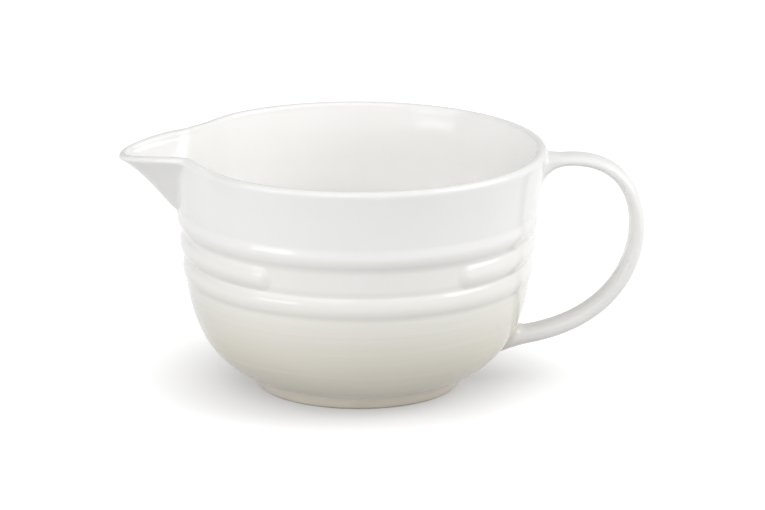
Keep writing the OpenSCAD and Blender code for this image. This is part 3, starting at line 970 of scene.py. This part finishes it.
def ivory_glaze():
    """White glaze that warms to ivory lower down and is darkened there with painted shade, with
    painted shade under each band, paler painted-light copies inside and on the handle, and turning
    lines.
    """
    material = bpy.data.materials.new("ivory_glaze")
    glaze = Finish(material)
    height = glaze.height()
    # Ivory glaze that is darker low down, partly real ivory and partly painted shade under the
    # belly
    colour = glaze.by_height(GLAZE_AND_SHADE_BY_HEIGHT)
    out_of_wall = glaze.radius() - glaze.by_height(MIDDLE_OF_WALL)
    outside = glaze.ramp(out_of_wall, -OUTSIDE_AT, OUTSIDE_AT)
    on_handle = glaze.ramp(out_of_wall, HANDLE_FROM, HANDLE_AT)
    # The handle takes the paler glaze, painted light on it
    colour = glaze.blend(on_handle, colour, LIT_GLAZE_ON_HANDLE)
    # The inside takes the paler glaze, painted light for the light inside the bowl
    colour = glaze.blend(outside, LIT_GLAZE_INSIDE, colour)

    # Painted shade under each band's lower edge, kept on the wall's face
    band_shade = 0.0
    for level in BAND_SHADE_LEVELS:
        near = glaze.distance(height, level * MM)
        band_shade = band_shade + (1 - glaze.ramp(near, 0, BAND_SHADE_HALF_WIDTH))
    on_face = outside * (1 - glaze.ramp(out_of_wall, FACE_TO, FACE_END))
    colour = glaze.blend(band_shade * on_face * BAND_SHADE_SHARE, colour, PAINTED_BAND_SHADE)

    lines = glaze.noise(LINE_SCALE, FINE_DETAIL) - 0.5
    low_down = outside * (1 - glaze.ramp(height, LINES_FADE, LINES_END))
    lines = lines * (low_down * LINES_LOW_DOWN + LINES_EVERYWHERE)
    pale = glaze.ramp(lines, 0.0, LINE_REACH) * LINE_SHARE
    dark = glaze.ramp(0 - lines, 0.0, LINE_REACH) * LINE_SHARE
    colour = glaze.blend(pale, colour, PALE_LINE)
    colour = glaze.blend(dark, colour, DARK_LINE)

    clouds = glaze.noise(CLOUD_SCALE, FINE_DETAIL)
    clouded = glaze.ramp(clouds, CLOUD_FROM, CLOUD_TO) * CLOUD_SHARE
    colour = glaze.blend(clouded, colour, CLOUD)
    ripple = glaze.noise(RIPPLE_SCALE) * RIPPLE_RELIEF
    relief = ripple + lines * LINE_RELIEF + glaze.noise(DIMPLE_SCALE) * DIMPLE_RELIEF
    shader = glaze.add(
        "ShaderNodeBsdfPrincipled",
        {},
        {
            "Base Color": colour,
            "Roughness": GLAZE_ROUGHNESS + clouds * CLOUDED_ROUGHNESS,
            "IOR": GLAZE_IOR,
            "Normal": glaze.bump(relief, GLAZE_BUMP, GLAZE_BUMP_H),
        },
    )
    glaze.surface(shader)
    return material


def foot_stoneware():
    """Thin warm glaze on the foot's sides, wiped off the standing face, where the clay shows."""
    material = bpy.data.materials.new("foot_stoneware")
    foot = Finish(material)
    grain = foot.noise(GRAIN_SCALE, FINE_DETAIL, GRAIN_ROUGHNESS)
    wander = (foot.noise(EDGE_SCALE) - 0.5) * EDGE_WANDER
    bare = 1 - foot.ramp(foot.height() + wander, BARE_TO, GLAZED_FROM)
    clay = foot.blend(foot.ramp(grain, GRAIN_FROM, GRAIN_TO), CLAY, CLAY_GRAIN)
    clouds = foot.noise(FOOT_CLOUD_SCALE, FINE_DETAIL)
    clouded = foot.ramp(clouds, FOOT_CLOUD_FROM, FOOT_CLOUD_TO) * FOOT_CLOUD_SHARE
    glazed = foot.blend(clouded, FOOT_GLAZE, FOOT_CLOUD)
    shader = foot.add(
        "ShaderNodeBsdfPrincipled",
        {},
        {
            "Base Color": foot.blend(bare, glazed, clay),
            "Roughness": FOOT_ROUGHNESS + bare * CLAY_ROUGHNESS,
            "IOR": GLAZE_IOR,
            "Normal": foot.bump(grain * bare, CLAY_BUMP, CLAY_BUMP_H),
        },
    )
    foot.surface(shader)
    return material


bowl = cut_bowl()
bowl["handle"] = make_handle()
stands_for = {
    "body": "bowl_body",
    "spout": "pouring_spout",
    "upper": "upper_band",
    "middle": "middle_band",
    "lower": "lower_band",
    "foot": "foot_ring",
    "handle": "handle",
}
finishes = {"ivory_glaze": ivory_glaze(), "foot_stoneware": foot_stoneware()}
for part, node in stands_for.items():
    finish = "foot_stoneware" if part == "foot" else "ivory_glaze"
    bowl[part].data.materials.append(finishes[finish])
    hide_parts(node)


# The studio: a white table that looks endless, in a pale room with three soft panels before the
# bowl on the spout's side and one on the handle's side

WHITE = (1, 1, 1, 1)
TABLE_R = 6.0
TABLE_SIDES = 96
TABLE_COLOUR = (0.56, 0.56, 0.56, 1)
TABLE_ROUGHNESS = 0.7
# How much of the table is seen as white paper, not as the lit table, and how bright that paper is
PAPER_SHARE = 0.5
PAPER_STRENGTH = 1.4
# The painted contact shadow round the foot: how far it reaches, and the grey of the paper's glow in
# it
CONTACT_SHADOW_REACH = 45 * MM
CONTACT_SHADOW_GREY = (0.3, 0.3, 0.3, 1)
# How bright the room is seen on the spout's side and on the handle's side
ROOM_LEFT, ROOM_RIGHT = 0.42, 0.78
# How much of that is missing at the ceiling, and the sines of the angles between which it goes
CEILING_DIM = 0.48
DIM_FROM, DIM_AT = 0.1, 0.9
# Each panel: its bearing from the bowl's front, under 0 towards the spout, and its height angle,
# in degrees; its distance, width and height in metres; how bright it is seen, white being 1
PANELS = {
    "front_left_panel": (-56, 3, 1.3, 0.66, 0.24, 3.5),
    "high_left_panel": (-42, 40, 1.7, 2.2, 1.5, 1.6),
    "right_panel": (78, 32, 1.5, 1.1, 1.0, 3.3),
    "low_front_panel": (-36, 6, 1.9, 1.4, 0.3, 1.1),
}


def white_table():
    """Light table for what sees it, darker for the light it throws back, with a contact shadow."""
    material = bpy.data.materials.new("white_table")
    table = Finish(material)
    seen = table.add("ShaderNodeLightPath", output="Is Camera Ray")
    seen = seen + table.add("ShaderNodeLightPath", output="Is Glossy Ray")
    seen = seen + table.add("ShaderNodeLightPath", output="Is Transmission Ray")
    colour = table.blend(seen, TABLE_COLOUR, WHITE)
    lit = {"Base Color": colour, "Roughness": TABLE_ROUGHNESS}
    matt = table.add("ShaderNodeBsdfPrincipled", {}, lit)
    # Painted contact shadow: the paper's glow greys where the bowl closes the space over it
    reach = {"Distance": CONTACT_SHADOW_REACH}
    open_above = table.add("ShaderNodeAmbientOcclusion", {}, reach, output="AO")
    paper = table.blend(open_above, CONTACT_SHADOW_GREY, WHITE)
    glow = {"Color": paper, "Strength": PAPER_STRENGTH}
    white = table.add("ShaderNodeEmission", {}, glow)
    shaders = {0: seen * PAPER_SHARE, 1: matt, 2: white}
    table.surface(table.add("ShaderNodeMixShader", {}, shaders))
    return material


def set_table():
    turn = np.linspace(0, 2 * math.pi, TABLE_SIDES, endpoint=False)
    rim = np.column_stack([TABLE_R * np.cos(turn), TABLE_R * np.sin(turn), 0 * turn])
    mesh = bpy.data.meshes.new("table")
    mesh.from_pydata(rim.tolist(), [], [list(range(TABLE_SIDES))])
    mesh.materials.append(white_table())
    table = bpy.data.objects.new("table", mesh)
    bpy.context.scene.collection.objects.link(table)


def set_surroundings():
    """A room that is brighter on the handle's side and dimmer overhead."""
    world = bpy.data.worlds.new("studio")
    bpy.context.scene.world = world
    studio = Finish(world)
    place = studio.add("ShaderNodeTexCoord", output="Generated")
    side = studio.add("ShaderNodeSeparateXYZ", {}, {0: place}, output="X")
    up = studio.add("ShaderNodeSeparateXYZ", {}, {0: place}, output="Z")
    strength = ROOM_LEFT + studio.ramp(side, -1, 1) * (ROOM_RIGHT - ROOM_LEFT)
    strength = strength * (1 - studio.ramp(up, DIM_FROM, DIM_AT) * CEILING_DIM)
    shader = studio.add("ShaderNodeBackground", {}, {"Color": WHITE, "Strength": strength})
    studio.add_output("ShaderNodeOutputWorld", shader)


def hang_panels():
    """Panels that face the bowl. Their power gives each the brightness that it is seen with."""
    for name, (side, climb, distance, width, height, brightness) in PANELS.items():
        lamp = bpy.data.lights.new(name, "AREA")
        lamp.shape = "RECTANGLE"
        lamp.size, lamp.size_y = width, height
        lamp.energy = brightness * math.pi * width * height
        a, e = math.radians(side), math.radians(climb)
        out = Vector((math.cos(e) * math.sin(a), -math.cos(e) * math.cos(a), math.sin(e)))
        panel = bpy.data.objects.new(name, lamp)
        panel.location = out * distance + Vector((0, 0, RIM_H / 2 * MM))
        panel.rotation_euler = out.to_track_quat("Z", "Y").to_euler()
        bpy.context.scene.collection.objects.link(panel)
        panel.visible_camera = False


set_table()
set_surroundings()
hang_panels()
